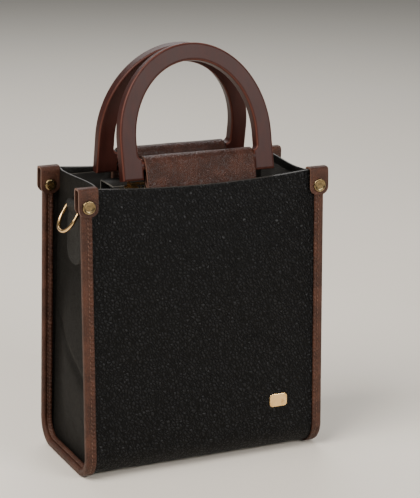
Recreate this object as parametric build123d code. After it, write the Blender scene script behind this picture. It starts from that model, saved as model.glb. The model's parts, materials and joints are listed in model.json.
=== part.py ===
from build123d import *
import math
import os

# Satchel bag with two wooden handles, in millimetres.
# It stands on Z = 0, its front faces -Y, and its width runs along X.

# Overall sizes
BAG_WIDTH = 224.0            # over the two bound side edges
BASE_DEPTH = 116.0           # over the bindings, at the floor
TOP_DEPTH = 95.0             # over the bindings, at the top corners
CORNER_HEIGHT = 252.0        # top edge of the body at its four corners
TOP_SAG = 4.5                # drop of the top edge at mid width
SAG_END_GAP = 1.0            # the sag ends this far inside each corner tab
BASE_CORNER_RADIUS = 22.0    # where front and back turn into the base

# Sheet thicknesses
WRAP_LEATHER = 2.0
WALL_BOARD = 1.6
BASE_BOARD = 3.0
LINING = 0.8
GUSSET_LEATHER = 1.6
BINDING_LEATHER = 1.6
TAB_LEATHER = 1.8

# Gussets: how far the folded end panels lie in from the bound edges
GUSSET_BASE_RECESS = 10.0
GUSSET_CORNER_RECESS = 14.0
GUSSET_MIDDLE_RECESS = 17.0
GUSSET_FOLD_GAP = 19.5           # from the top corner to the flat middle of the fold
GUSSET_SHOULDER_GAP = 3.5

# Boards and lining
BOARD_END_GAP = 3.0          # to the gusset at mid depth
BOARD_BOTTOM = 30.0
BOARD_TOP_DROP = 7.0         # all drops and rises are from the top corners
BASE_BOARD_EDGE_GAP = 0.5
BASE_BOARD_SIDE_GAP = 0.7

# Edge bindings and the four corner tabs
BINDING_WIDTH = 9.0
TAB_WIDTH = 17.0
TAB_OVERHANG = 3.0           # beyond the bound edge
TAB_LENGTH = 24.0
TAB_END_RADIUS = 7.2

# Tab rivets
RIVET_DROP = 15.5            # from the fold of the tab down to the rivet
RIVET_CAP_RADIUS = 5.8
RIVET_CAP_HEIGHT = 1.6
RIVET_CAP_DISH = 0.5
RIVET_RIM = 1.1
RIVET_RIM_ROUNDING = 0.5
RIVET_BACK_RADIUS = 5.2
RIVET_BACK_HEIGHT = 1.8
RIVET_BACK_DOME = 1.6
RIVET_POST_RADIUS = 1.6

# Wooden handles
HANDLE_HALF_WIDTH = 70.0
HANDLE_BAND = 15.0
HANDLE_THICKNESS = 10.5
HANDLE_LEG = 31.5            # straight leg, from the foot up to the arch
HANDLE_ARCH = 80.0           # rise of the arch above the legs
HANDLE_EDGE_RADIUS = 2.0
HANDLE_CORNER_RADIUS = 3.8   # inside the opening, where each leg meets the bar
HANDLE_CORNER_HEIGHT = 5.6   # foot of that corner, above the bar centre
HANDLE_BAR_RADIUS = 5.2
HANDLE_BAR_HEIGHT = 12.0     # bar centre above the foot
HANDLE_BAR_GAP = 19.5        # bar centre in from the top corner
FRONT_BAR_RISE = 12.0
REAR_BAR_RISE = 8.0
FRONT_LEAN_SHARE = 0.80      # of the way to mid depth that the top of the arch leans in
REAR_LEAN_SHARE = 0.59

# Leather loops that hold the handle bars
LOOP_LEATHER = 2.6
LOOP_END_GAP = 5.0           # to each leg of the handle
LOOP_BAR_CLEARANCE = 0.3
LOOP_NECK_DROP = 6.0
LOOP_TAIL_DROP = 36.0

# Ring straps on the gussets, and their D-rings
RING_BAR_DROP = 24.0
RING_INNER_WIDTH = 25.0
RING_WIRE = 3.2
RING_LENGTH = 24.0           # bar centre to the centre of the bow
RING_SWING = 30.0            # degrees, away from the gusset
RING_TOP_CORNER = 3.0
RING_BOW_CORNER = 13.0
STRAP_LEATHER = 2.0
STRAP_LOOP_CLEARANCE = 0.3
STRAP_LOOP_SIDE_GAP = 1.3    # each side, inside the ring
STRAP_PATCH_WIDTH = 32.0
STRAP_PATCH_TOP_DROP = 9.0   # below the ring bar
STRAP_LENGTH = 51.0          # ring bar down to the tip
STRAP_TIP_RADIUS = 13.0

# Zip panel
FACING_END_GAP = 33.0        # to the gusset at mid depth
FACING_LEATHER = 1.6
FACING_DROP = 12.4
FACING_LEAF_DROP = 33.0
FACING_INNER_Y = 7.0
TAPE_THICKNESS = 0.8
TAPE_OUTER_Y = 16.0
CHAIN_HALF_WIDTH = 3.0
CHAIN_THICKNESS = 2.4
CHAIN_SLIT = 1.4
CHAIN_END_GAP = 6.0          # to the end of the facing
TOOTH_PITCH = 3.0
TOOTH_LENGTH = 1.7
STOP_LENGTH = 2.5

# Zip slider and pull
SLIDER_LENGTH = 10.0
SLIDER_HALF_WIDTH = 4.4
SLIDER_PLATE = 1.2
SLIDER_CORNER = 2.2
SLIDER_CLEARANCE = 0.3
SLIDER_DIVIDER = 0.8
SLIDER_DIVIDER_LENGTH = 2.6
SLIDER_END_GAP = 7.0         # slider centre at rest, in from the end of the chain
LUG_THICKNESS = 1.0
LUG_RADIUS = 1.5
PULL_PIN_RADIUS = 0.6
PULL_EYE_RADIUS = 1.3
PULL_PIN_CLEARANCE = 0.1
PULL_SIDE_GAP = 0.2
PULL_WIDTH = 6.0
PULL_LENGTH = 25.0
PULL_THICKNESS = 1.4
PULL_END_RADIUS = 2.4
PULL_SLOT_X = 6.0
PULL_SLOT_LENGTH = 3.5
PULL_SLOT_WIDTH = 2.6

# Plain plate low on the front
PLATE_END_GAP = 23.0         # plate centre in from the end of the board
PLATE_Z = 49.0
PLATE_WIDTH = 17.0
PLATE_HEIGHT = 12.0
PLATE_THICKNESS = 1.4
PLATE_CORNER = 3.0
PLATE_EDGE_RADIUS = 0.8
PRONG_RADIUS = 0.7
PRONG_SPACING = 10.0
PRONG_END_GAP = 0.2          # prongs stop inside the board

# Worked out from the values above: places across the width
HALF_WIDTH = BAG_WIDTH / 2
TAB_END_X = HALF_WIDTH + TAB_OVERHANG
TAB_START_X = TAB_END_X - TAB_WIDTH
GUSSET_BASE_X = HALF_WIDTH - GUSSET_BASE_RECESS
GUSSET_TOP_CORNER_X = HALF_WIDTH - GUSSET_CORNER_RECESS
GUSSET_TOP_MIDDLE_X = HALF_WIDTH - GUSSET_MIDDLE_RECESS
BOARD_HALF_WIDTH = GUSSET_TOP_MIDDLE_X - BOARD_END_GAP
FACING_HALF_WIDTH = GUSSET_TOP_MIDDLE_X - FACING_END_GAP
CHAIN_HALF_LENGTH = FACING_HALF_WIDTH - CHAIN_END_GAP
SLIDER_REST_X = SLIDER_END_GAP - CHAIN_HALF_LENGTH
LOOP_WIDTH = 2 * (HANDLE_HALF_WIDTH - HANDLE_BAND - LOOP_END_GAP)
PLATE_X = BOARD_HALF_WIDTH - PLATE_END_GAP

# Places in depth
GUSSET_FOLD_HALF_DEPTH = TOP_DEPTH / 2 - GUSSET_FOLD_GAP
GUSSET_SHOULDER_HALF_DEPTH = TOP_DEPTH / 2 - GUSSET_SHOULDER_GAP
HANDLE_BAR_Y = TOP_DEPTH / 2 - HANDLE_BAR_GAP

# Heights
BOARD_TOP = CORNER_HEIGHT - BOARD_TOP_DROP
FRONT_BAR_Z = CORNER_HEIGHT + FRONT_BAR_RISE
REAR_BAR_Z = CORNER_HEIGHT + REAR_BAR_RISE
LOOP_NECK_Z = CORNER_HEIGHT - LOOP_NECK_DROP
LOOP_TAIL_BOTTOM = CORNER_HEIGHT - LOOP_TAIL_DROP
RING_BAR_Z = CORNER_HEIGHT - RING_BAR_DROP
FACING_TOP = CORNER_HEIGHT - FACING_DROP
FACING_LEAF_BOTTOM = CORNER_HEIGHT - FACING_LEAF_DROP

# Slopes, in degrees where they are leans
WALL_SLOPE = (BASE_DEPTH - TOP_DEPTH) / 2 / CORNER_HEIGHT
WALL_LEAN = math.degrees(math.atan(WALL_SLOPE))
GUSSET_LEAN = math.degrees(math.atan((GUSSET_BASE_X - GUSSET_TOP_MIDDLE_X) / CORNER_HEIGHT))

# How far each layer of a wall lies in from the outer face of the binding
WRAP_INSET = BINDING_LEATHER
BOARD_INSET = WRAP_INSET + WRAP_LEATHER
FLANGE_INNER = BOARD_INSET + GUSSET_LEATHER
STACK = FLANGE_INNER + BINDING_LEATHER
LINING_INSET = BOARD_INSET + WALL_BOARD
CAVITY_INSET = LINING_INSET + LINING
LINING_FLOOR = BOARD_INSET + BASE_BOARD

SPAN = 2 * BAG_WIDTH         # longer than anything it cuts


def wall_y(inset, z):
    """Half depth of a wall layer at a height."""
    return BASE_DEPTH / 2 - inset - WALL_SLOPE * z


def profile(inset, top, floor=None):
    """Upright section of the bag, set in from the outer face."""
    low = inset if floor is None else floor
    outline = Polygon(
        (-wall_y(inset, low), low),
        (wall_y(inset, low), low),
        (wall_y(inset, top), top),
        (-wall_y(inset, top), top),
        align=None,
    )
    base_corners = outline.vertices().sort_by(Axis.Y)[:2]
    return fillet(base_corners, BASE_CORNER_RADIUS - inset)


def prism(inset, start_x, end_x, top=CORNER_HEIGHT, floor=None):
    """The bag's section drawn out along X."""
    return extrude(Plane.YZ.offset(start_x) * profile(inset, top, floor), amount=end_x - start_x)


def sheet(outer_inset, inner_inset, start_x, end_x, top=CORNER_HEIGHT):
    """A U-shaped layer: down the front, under the base and up the back."""
    outside = prism(outer_inset, start_x, end_x, top)
    inside = prism(inner_inset, start_x - 1, end_x + 1, top + 1)
    return outside - inside


def above_top_edge():
    """Everything above the sagging top edge of the front and back."""
    edge_x = TAB_START_X - SAG_END_GAP
    arc = ThreePointArc(
        (-edge_x, CORNER_HEIGHT),
        (0, CORNER_HEIGHT - TOP_SAG),
        (edge_x, CORNER_HEIGHT),
    )
    cap = Polyline(
        (edge_x, CORNER_HEIGHT),
        (edge_x, CORNER_HEIGHT + SPAN),
        (-edge_x, CORNER_HEIGHT + SPAN),
        (-edge_x, CORNER_HEIGHT),
    )
    return extrude(Plane.XZ * make_face([arc, cap]), amount=SPAN, both=True)


def gusset_section(base, inset):
    """Plan of the space between the gussets, at the base or at the top."""
    corner = GUSSET_BASE_X if base else GUSSET_TOP_CORNER_X
    middle = GUSSET_BASE_X if base else GUSSET_TOP_MIDDLE_X
    half = [
        (corner - inset, -BASE_DEPTH),
        (corner - inset, -GUSSET_SHOULDER_HALF_DEPTH),
        (middle - inset, -GUSSET_FOLD_HALF_DEPTH),
        (middle - inset, GUSSET_FOLD_HALF_DEPTH),
        (corner - inset, GUSSET_SHOULDER_HALF_DEPTH),
        (corner - inset, BASE_DEPTH),
    ]
    other_half = [(-x, y) for x, y in reversed(half)]
    return Polygon(*half, *other_half, align=None)


def between_gussets(inset):
    """Block that fills the bag out to the gussets, set in by a distance."""
    base = gusset_section(True, inset)
    top = Plane.XY.offset(CORNER_HEIGHT) * gusset_section(False, inset)
    return loft([base, top], ruled=True)


def wall_plane(x, z, inset):
    """Plane on the front wall: its X runs along +X, its normal points out of the bag."""
    lean = math.radians(WALL_LEAN)
    normal = (0, -math.cos(lean), math.sin(lean))
    return Plane(origin=(x, -wall_y(inset, z), z), x_dir=(1, 0, 0), z_dir=normal)


def peg(plane, radius, start, end):
    """Round peg along a plane's normal, from one height to another."""
    return extrude(plane.offset(start) * Circle(radius), amount=end - start)


def four_corners(front_right):
    """A piece at the front right corner, with its copies at the other three."""
    front_left = mirror(front_right, about=Plane.YZ)
    rear_right = mirror(front_right, about=Plane.XZ)
    rear_left = mirror(front_left, about=Plane.XZ)
    return {
        "front_right": front_right,
        "front_left": front_left,
        "rear_right": rear_right,
        "rear_left": rear_left,
    }


def rivet_plane():
    middle = (TAB_START_X + TAB_END_X) / 2
    return wall_plane(middle, CORNER_HEIGHT + TAB_LEATHER - RIVET_DROP, -TAB_LEATHER)


def riveted_thickness():
    """Thickness of the stack and both leaves of a tab, square to the leaning wall."""
    return (STACK + 2 * TAB_LEATHER) * math.cos(math.radians(WALL_LEAN))


def rivet_holes():
    """Rivet shanks at all four corners, used to bore the layers they pass through."""
    shank = peg(rivet_plane(), RIVET_POST_RADIUS, -riveted_thickness() - TAB_LEATHER, TAB_LEATHER)
    return four_corners(shank).values()


def bore(solid, cutters):
    for cutter in cutters:
        solid = solid - cutter
    return solid


def body_wrap():
    end = HALF_WIDTH - BINDING_LEATHER
    wrap = sheet(WRAP_INSET, BOARD_INSET, -end, end) - above_top_edge()
    return bore(wrap, [*rivet_holes(), *plate_prongs()])


def wall_board():
    """Stiffener inside the front."""
    layer = sheet(BOARD_INSET, LINING_INSET, -BOARD_HALF_WIDTH, BOARD_HALF_WIDTH)
    height = BOARD_TOP - BOARD_BOTTOM
    window = Pos(0, -BASE_DEPTH / 2, BOARD_BOTTOM + height / 2) * Box(SPAN, BASE_DEPTH, height)
    return layer & window


def flat_floor(inset):
    """Half depth of the flat part of the base, between its rounded corners."""
    corner = wall_y(inset, inset)
    return corner - (BASE_CORNER_RADIUS - inset) / math.tan(math.radians(45 - WALL_LEAN / 2))


def base_board():
    width = 2 * (GUSSET_BASE_X - GUSSET_LEATHER - BASE_BOARD_SIDE_GAP)
    depth = 2 * (flat_floor(BOARD_INSET) - BASE_BOARD_EDGE_GAP)
    board = Box(width, depth, BASE_BOARD)
    return Pos(0, 0, BOARD_INSET + BASE_BOARD / 2) * board


def lining():
    end = GUSSET_BASE_X
    outside = between_gussets(GUSSET_LEATHER) & prism(LINING_INSET, -end, end, BOARD_TOP, LINING_FLOOR)
    room = prism(CAVITY_INSET, -end, end, CORNER_HEIGHT, LINING_FLOOR + LINING)
    inside = between_gussets(GUSSET_LEATHER + LINING) & room
    return outside - inside


def right_gusset():
    """End panel, and the flange that lies on the wrap out to its edge."""
    flange = sheet(BOARD_INSET, FLANGE_INNER, 0, HALF_WIDTH - BINDING_LEATHER)
    panel = between_gussets(0) & prism(FLANGE_INNER, 0, HALF_WIDTH)
    gusset = (flange + panel) - between_gussets(GUSSET_LEATHER)
    return bore(gusset, rivet_holes())


def right_binding():
    """Folded strip round the raw edges of the wrap and the gusset."""
    strip = sheet(0, STACK, HALF_WIDTH - BINDING_WIDTH, HALF_WIDTH)
    edges = sheet(WRAP_INSET, FLANGE_INNER, 0, HALF_WIDTH - BINDING_LEATHER, CORNER_HEIGHT + 1)
    return bore(strip - edges, rivet_holes())


def corner_tab():
    """Strap folded over the top of the front right corner."""
    top = CORNER_HEIGHT + TAB_LEATHER
    leaves = sheet(-TAB_LEATHER, STACK + TAB_LEATHER, TAB_START_X, TAB_END_X, top)
    leaves = leaves - sheet(0, STACK, TAB_START_X - 1, TAB_END_X + 1)
    outline = Polygon(
        (TAB_START_X, top - TAB_LENGTH),
        (TAB_END_X, top - TAB_LENGTH),
        (TAB_END_X, top),
        (TAB_START_X, top),
        align=None,
    )
    outline = fillet(outline.vertices().sort_by(Axis.Y)[:2], TAB_END_RADIUS)
    window = extrude(Plane.XZ * outline, amount=BASE_DEPTH)
    tab = (leaves & window) + tab_fold(top)
    return bore(tab, rivet_holes())


def tab_fold(top):
    """Crown of the tab, which closes the gap between its two leaves."""
    front = -wall_y(-TAB_LEATHER, top)
    back = -wall_y(STACK + TAB_LEATHER, top)
    crown = Box(TAB_WIDTH, back - front, TAB_LEATHER)
    return Pos(TAB_START_X + TAB_WIDTH / 2, (front + back) / 2, top - TAB_LEATHER / 2) * crown


def rivet_cap():
    plane = rivet_plane()
    cap = peg(plane, RIVET_CAP_RADIUS, 0, RIVET_CAP_HEIGHT)
    cap = fillet(cap.edges().sort_by(Axis.Y)[0], RIVET_RIM_ROUNDING)
    dish = peg(plane, RIVET_CAP_RADIUS - RIVET_RIM, RIVET_CAP_HEIGHT - RIVET_CAP_DISH, RIVET_CAP_HEIGHT)
    return cap - dish


def rivet_post():
    return peg(rivet_plane(), RIVET_POST_RADIUS, -riveted_thickness(), 0)


def rivet_back():
    face = -riveted_thickness()
    back = peg(rivet_plane(), RIVET_BACK_RADIUS, face - RIVET_BACK_HEIGHT, face)
    return fillet(back.edges().sort_by(Axis.Y)[-1], RIVET_BACK_DOME)


def handle(bar_z, lean_share, side):
    """Arched board with a round lower bar. Side is -1 at the front and 1 at the rear."""
    foot = -HANDLE_BAR_HEIGHT
    spring = HANDLE_LEG - HANDLE_BAR_HEIGHT
    lean = math.degrees(math.asin(lean_share * HANDLE_BAR_Y / (spring + HANDLE_ARCH)))
    inner = HANDLE_HALF_WIDTH - HANDLE_BAND
    web = inner - HANDLE_CORNER_RADIUS
    shoulder = HANDLE_CORNER_HEIGHT + HANDLE_CORNER_RADIUS
    outline = [
        Line((-HANDLE_HALF_WIDTH, foot), (-HANDLE_HALF_WIDTH, spring)),
        EllipticalCenterArc((0, spring), HANDLE_HALF_WIDTH, HANDLE_ARCH, start_angle=0, arc_size=180),
        Line((HANDLE_HALF_WIDTH, spring), (HANDLE_HALF_WIDTH, foot)),
        Line((HANDLE_HALF_WIDTH, foot), (web, foot)),
        Line((web, foot), (web, HANDLE_CORNER_HEIGHT)),
        CenterArc((web, shoulder), HANDLE_CORNER_RADIUS, 270, 90),
        Line((inner, shoulder), (inner, spring)),
        EllipticalCenterArc((0, spring), inner, HANDLE_ARCH - HANDLE_BAND, start_angle=0, arc_size=180),
        Line((-inner, spring), (-inner, shoulder)),
        CenterArc((-web, shoulder), HANDLE_CORNER_RADIUS, 180, 90),
        Line((-web, HANDLE_CORNER_HEIGHT), (-web, foot)),
        Line((-web, foot), (-HANDLE_HALF_WIDTH, foot)),
    ]
    board = extrude(Plane.XZ * make_face(outline), amount=HANDLE_THICKNESS / 2, both=True)
    faces = board.faces().filter_by(Axis.Y)
    board = fillet(faces.edges(), HANDLE_EDGE_RADIUS)
    bar_length = 2 * inner + HANDLE_BAND
    bar = Rot(0, 90, 0) * Cylinder(HANDLE_BAR_RADIUS, bar_length)
    return Pos(0, side * HANDLE_BAR_Y, bar_z) * Rot(side * lean, 0, 0) * (board + bar)


def tangent_point(point, centre, radius, turn):
    """Where a line from a point touches a circle, on its left (1) or right (-1)."""
    reach = math.dist(point, centre)
    heading = math.atan2(centre[1] - point[1], centre[0] - point[0])
    heading += turn * math.asin(radius / reach)
    length = math.sqrt(reach ** 2 - radius ** 2)
    return (point[0] + length * math.cos(heading), point[1] + length * math.sin(heading))


def handle_loop(bar_z):
    """Leather wrapped round the front bar, with its tail sewn inside the front."""
    centre = (-HANDLE_BAR_Y, bar_z)
    hole = HANDLE_BAR_RADIUS + LOOP_BAR_CLEARANCE
    outer = hole + LOOP_LEATHER
    ply = 2 * LOOP_LEATHER
    neck_front = (-wall_y(CAVITY_INSET, LOOP_NECK_Z), LOOP_NECK_Z)
    neck_back = (neck_front[0] + ply, LOOP_NECK_Z)
    tail_front = (-wall_y(CAVITY_INSET, LOOP_TAIL_BOTTOM), LOOP_TAIL_BOTTOM)
    tail_back = (tail_front[0] + ply, LOOP_TAIL_BOTTOM)
    section = Polygon(
        tail_front,
        tail_back,
        neck_back,
        tangent_point(neck_back, centre, outer, -1),
        centre,
        tangent_point(neck_front, centre, outer, 1),
        neck_front,
        align=None,
    )
    section = section + Pos(*centre) * Circle(outer) - Pos(*centre) * Circle(hole)
    return extrude(Plane.YZ * section, amount=LOOP_WIDTH / 2, both=True)


def ring_bar_offset():
    """Bar centre out from the face of the gusset."""
    return STRAP_LEATHER + STRAP_LOOP_CLEARANCE + RING_WIRE / 2


def gusset_plane():
    """Plane on the right gusset at the ring bar: X runs to the back, Y up the gusset."""
    lean = math.radians(GUSSET_LEAN)
    x = GUSSET_TOP_MIDDLE_X + (CORNER_HEIGHT - RING_BAR_Z) * math.tan(lean)
    normal = (math.cos(lean), 0, math.sin(lean))
    return Plane(origin=(x, 0, RING_BAR_Z), x_dir=(0, 1, 0), z_dir=normal)


def right_ring_strap():
    """Strap folded round the ring bar and sewn to the gusset as a wider patch."""
    plane = gusset_plane()
    offset = ring_bar_offset()
    hole = RING_WIRE / 2 + STRAP_LOOP_CLEARANCE
    outer = hole + STRAP_LEATHER
    loop_width = RING_INNER_WIDTH - 2 * STRAP_LOOP_SIDE_GAP
    patch_top = -STRAP_PATCH_TOP_DROP
    patch = Polygon(
        (-STRAP_PATCH_WIDTH / 2, -STRAP_LENGTH),
        (STRAP_PATCH_WIDTH / 2, -STRAP_LENGTH),
        (STRAP_PATCH_WIDTH / 2, patch_top),
        (-STRAP_PATCH_WIDTH / 2, patch_top),
        align=None,
    )
    patch = fillet(patch.vertices().sort_by(Axis.Y)[:2], STRAP_TIP_RADIUS)
    neck = Polygon(
        (-loop_width / 2, patch_top),
        (loop_width / 2, patch_top),
        (loop_width / 2, 0),
        (-loop_width / 2, 0),
        align=None,
    )
    flat = extrude(plane * (patch + neck), amount=2 * STRAP_LEATHER)
    axis_plane = Plane(origin=plane.origin + plane.z_dir * offset, x_dir=plane.z_dir, z_dir=plane.x_dir)
    tube = extrude(axis_plane * Circle(outer), amount=loop_width / 2, both=True)
    hollow = extrude(axis_plane * Circle(hole), amount=loop_width / 2, both=True)
    return flat + tube - hollow


def right_d_ring():
    """Bent wire ring, its straight bar held in the strap."""
    plane = gusset_plane()
    half = (RING_INNER_WIDTH + RING_WIRE) / 2
    corners = [(-half, 0), (half, 0), (half, -RING_LENGTH), (-half, -RING_LENGTH)]
    radii = [RING_TOP_CORNER, RING_TOP_CORNER, RING_BOW_CORNER, RING_BOW_CORNER]
    path = FilletPolyline(*corners, radius=radii, close=True)
    start = path @ 0
    section = Plane(origin=start, z_dir=path % 0) * Circle(RING_WIRE / 2)
    ring = sweep(section, path=path)
    swung = Rot(-RING_SWING, 0, 0) * ring
    return plane.offset(ring_bar_offset()) * swung


def zip_facing():
    """Front half of the zip panel, with the leaf that is sewn down inside the front."""
    inner = CAVITY_INSET + 2 * LOOP_LEATHER
    under = FACING_TOP - FACING_LEATHER
    section = Polygon(
        (-wall_y(inner, FACING_LEAF_BOTTOM), FACING_LEAF_BOTTOM),
        (-wall_y(inner, FACING_LEAF_BOTTOM) + FACING_LEATHER, FACING_LEAF_BOTTOM),
        (-wall_y(inner, under) + FACING_LEATHER, under),
        (-FACING_INNER_Y, under),
        (-FACING_INNER_Y, FACING_TOP),
        (-wall_y(inner, FACING_TOP), FACING_TOP),
        align=None,
    )
    return extrude(Plane.YZ * section, amount=FACING_HALF_WIDTH, both=True)


def chain_middle():
    """Height of the middle of the chain: its tapes lie under the facings."""
    return FACING_TOP - FACING_LEATHER - TAPE_THICKNESS / 2


def zip_tape():
    depth = TAPE_OUTER_Y - CHAIN_HALF_WIDTH
    tape = Box(2 * FACING_HALF_WIDTH, depth, TAPE_THICKNESS)
    return Pos(0, -(TAPE_OUTER_Y + CHAIN_HALF_WIDTH) / 2, chain_middle()) * tape


def zip_teeth():
    """Two rows of teeth, half a pitch apart, with the slit that the divider runs in."""
    reach = CHAIN_HALF_WIDTH - CHAIN_SLIT / 2
    y = CHAIN_HALF_WIDTH - reach / 2
    tooth = Box(TOOTH_LENGTH, reach, CHAIN_THICKNESS)
    count = int(2 * CHAIN_HALF_LENGTH / TOOTH_PITCH)
    first = -(count - 1) * TOOTH_PITCH / 2
    teeth = []
    for side, shift in ((-1, -TOOTH_PITCH / 4), (1, TOOTH_PITCH / 4)):
        for index in range(count):
            x = first + index * TOOTH_PITCH + shift
            teeth.append(Pos(x, side * y, chain_middle()) * tooth)
    return Compound(children=teeth)


def zip_stops():
    """A stop on each tape at the closed end, and one across both at the other."""
    reach = CHAIN_HALF_WIDTH - CHAIN_SLIT / 2
    x = CHAIN_HALF_LENGTH + STOP_LENGTH / 2
    single = Box(STOP_LENGTH, reach, CHAIN_THICKNESS)
    y = CHAIN_HALF_WIDTH - reach / 2
    double = Box(STOP_LENGTH, 2 * CHAIN_HALF_WIDTH, CHAIN_THICKNESS)
    z = chain_middle()
    return Compound(children=[Pos(-x, -y, z) * single, Pos(-x, y, z) * single, Pos(x, 0, z) * double])


def pull_pin_z():
    """Height of the pull's pin above the upper plate of the slider."""
    return chain_middle() + CHAIN_THICKNESS / 2 + SLIDER_CLEARANCE + SLIDER_PLATE + LUG_RADIUS


def zip_slider():
    """Two plates joined by a divider, with lugs and a pin for the pull."""
    z = chain_middle()
    inner = CHAIN_THICKNESS / 2 + SLIDER_CLEARANCE
    plate = Box(SLIDER_LENGTH, 2 * SLIDER_HALF_WIDTH, SLIDER_PLATE)
    plate = fillet(plate.edges().filter_by(Axis.Z), SLIDER_CORNER)
    upper = Pos(0, 0, z + inner + SLIDER_PLATE / 2) * plate
    lower = Pos(0, 0, z - inner - SLIDER_PLATE / 2) * plate
    divider = Box(SLIDER_DIVIDER_LENGTH, SLIDER_DIVIDER, 2 * inner)
    divider = Pos(-(SLIDER_LENGTH - SLIDER_DIVIDER_LENGTH) / 2, 0, z) * divider
    pin_z = pull_pin_z()
    eye = PULL_WIDTH / 2
    lug_y = eye + PULL_SIDE_GAP + LUG_THICKNESS / 2
    lug = Rot(90, 0, 0) * Cylinder(LUG_RADIUS, LUG_THICKNESS)
    lug = lug + Pos(0, 0, -LUG_RADIUS / 2) * Box(2 * LUG_RADIUS, LUG_THICKNESS, LUG_RADIUS)
    pin = Rot(90, 0, 0) * Cylinder(PULL_PIN_RADIUS, 2 * lug_y)
    slider = upper + lower + divider + Pos(0, 0, pin_z) * pin
    slider = slider + Pos(0, -lug_y, pin_z) * lug + Pos(0, lug_y, pin_z) * lug
    return Pos(SLIDER_REST_X, 0, 0) * slider


def zip_pull():
    """Flat pull with an eye that turns on the slider's pin."""
    eye = Rot(90, 0, 0) * Cylinder(PULL_EYE_RADIUS, PULL_WIDTH)
    blade = Box(PULL_LENGTH, PULL_WIDTH, PULL_THICKNESS)
    blade = fillet(blade.edges().filter_by(Axis.Z).group_by(Axis.X)[-1], PULL_END_RADIUS)
    slot = Pos(PULL_SLOT_X, 0, 0) * Box(PULL_SLOT_LENGTH, PULL_SLOT_WIDTH, PULL_THICKNESS)
    hole = Rot(90, 0, 0) * Cylinder(PULL_PIN_RADIUS + PULL_PIN_CLEARANCE, PULL_WIDTH)
    pull = Pos(PULL_LENGTH / 2, 0, 0) * blade - slot + eye - hole
    return Pos(SLIDER_REST_X, 0, pull_pin_z()) * pull


def plate_prongs():
    depth = WRAP_LEATHER + WALL_BOARD - PRONG_END_GAP
    prongs = []
    for side in (-1, 1):
        plane = wall_plane(PLATE_X + side * PRONG_SPACING / 2, PLATE_Z, WRAP_INSET)
        prongs.append(peg(plane, PRONG_RADIUS, -depth, 0))
    return prongs


def front_plate():
    """Plain plate, held by two prongs through the wrap and its board."""
    outline = RectangleRounded(PLATE_WIDTH, PLATE_HEIGHT, PLATE_CORNER)
    plate = extrude(wall_plane(PLATE_X, PLATE_Z, WRAP_INSET) * outline, amount=PLATE_THICKNESS)
    rim = plate.faces().sort_by(Axis.Y)[0].edges()
    plate = fillet(rim, PLATE_EDGE_RADIUS)
    for prong in plate_prongs():
        plate = plate + prong
    return plate


def front_and_rear(pieces, name, front):
    pieces["front_" + name] = front
    pieces["rear_" + name] = mirror(front, about=Plane.XZ)


def right_and_left(pieces, name, right):
    pieces["right_" + name] = right
    pieces["left_" + name] = mirror(right, about=Plane.YZ)


def build():
    pieces = {"body_wrap": body_wrap(), "base_board": base_board(), "lining": lining()}
    front_and_rear(pieces, "board", wall_board())
    pieces["front_board"] = bore(pieces["front_board"], plate_prongs())
    right_and_left(pieces, "gusset", right_gusset())
    right_and_left(pieces, "binding", right_binding())
    for corner, tab in four_corners(corner_tab()).items():
        pieces[corner + "_tab"] = tab
    pieces["rivet_caps"] = Compound(children=four_corners(rivet_cap()).values())
    pieces["rivet_posts"] = Compound(children=four_corners(rivet_post()).values())
    pieces["rivet_backs"] = Compound(children=four_corners(rivet_back()).values())
    pieces["front_handle"] = handle(FRONT_BAR_Z, FRONT_LEAN_SHARE, -1)
    pieces["rear_handle"] = handle(REAR_BAR_Z, REAR_LEAN_SHARE, 1)
    pieces["front_handle_loop"] = handle_loop(FRONT_BAR_Z)
    pieces["rear_handle_loop"] = mirror(handle_loop(REAR_BAR_Z), about=Plane.XZ)
    right_and_left(pieces, "ring_strap", right_ring_strap())
    right_and_left(pieces, "d_ring", right_d_ring())
    front_and_rear(pieces, "zip_facing", zip_facing())
    front_and_rear(pieces, "zip_tape", zip_tape())
    pieces["zip_teeth"] = zip_teeth()
    pieces["zip_stops"] = zip_stops()
    pieces["zip_slider"] = zip_slider()
    pieces["zip_pull"] = zip_pull()
    pieces["front_plate"] = front_plate()
    return pieces


os.makedirs("parts", exist_ok=True)
for piece_name, piece in build().items():
    export_step(piece, "parts/" + piece_name + ".step")
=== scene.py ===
import json
import math

import bmesh
import bpy
from mathutils import Matrix, Quaternion, Vector, noise


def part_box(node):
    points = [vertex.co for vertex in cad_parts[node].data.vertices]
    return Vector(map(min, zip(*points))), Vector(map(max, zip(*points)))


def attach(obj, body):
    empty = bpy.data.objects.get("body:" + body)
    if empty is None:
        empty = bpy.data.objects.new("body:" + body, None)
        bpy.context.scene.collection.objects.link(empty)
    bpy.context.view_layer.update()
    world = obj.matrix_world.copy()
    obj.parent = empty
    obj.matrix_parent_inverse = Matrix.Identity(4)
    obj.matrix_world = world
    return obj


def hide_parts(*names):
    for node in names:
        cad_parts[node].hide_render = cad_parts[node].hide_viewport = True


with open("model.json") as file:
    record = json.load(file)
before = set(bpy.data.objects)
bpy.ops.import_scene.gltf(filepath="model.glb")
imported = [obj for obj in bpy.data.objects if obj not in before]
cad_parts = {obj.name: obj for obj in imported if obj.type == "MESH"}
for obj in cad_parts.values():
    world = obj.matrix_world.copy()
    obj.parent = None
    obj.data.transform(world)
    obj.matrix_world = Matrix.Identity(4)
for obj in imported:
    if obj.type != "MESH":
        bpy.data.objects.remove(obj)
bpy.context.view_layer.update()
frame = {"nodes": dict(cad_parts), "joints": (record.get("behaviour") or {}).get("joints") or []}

# Satchel bag. Shapes are worked out in millimetres and scaled to metres as they are finished.
MM = 0.001
X, Y, Z = 0, 1, 2
FRONT, REAR = -1, 1
LEFT, RIGHT = -1, 1
SIDES = {LEFT: "left", RIGHT: "right"}
FACES = {FRONT: "front", REAR: "rear"}


# ---- sizes read from the frame

def low(node, axis):
    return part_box(node)[0][axis] / MM


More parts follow.
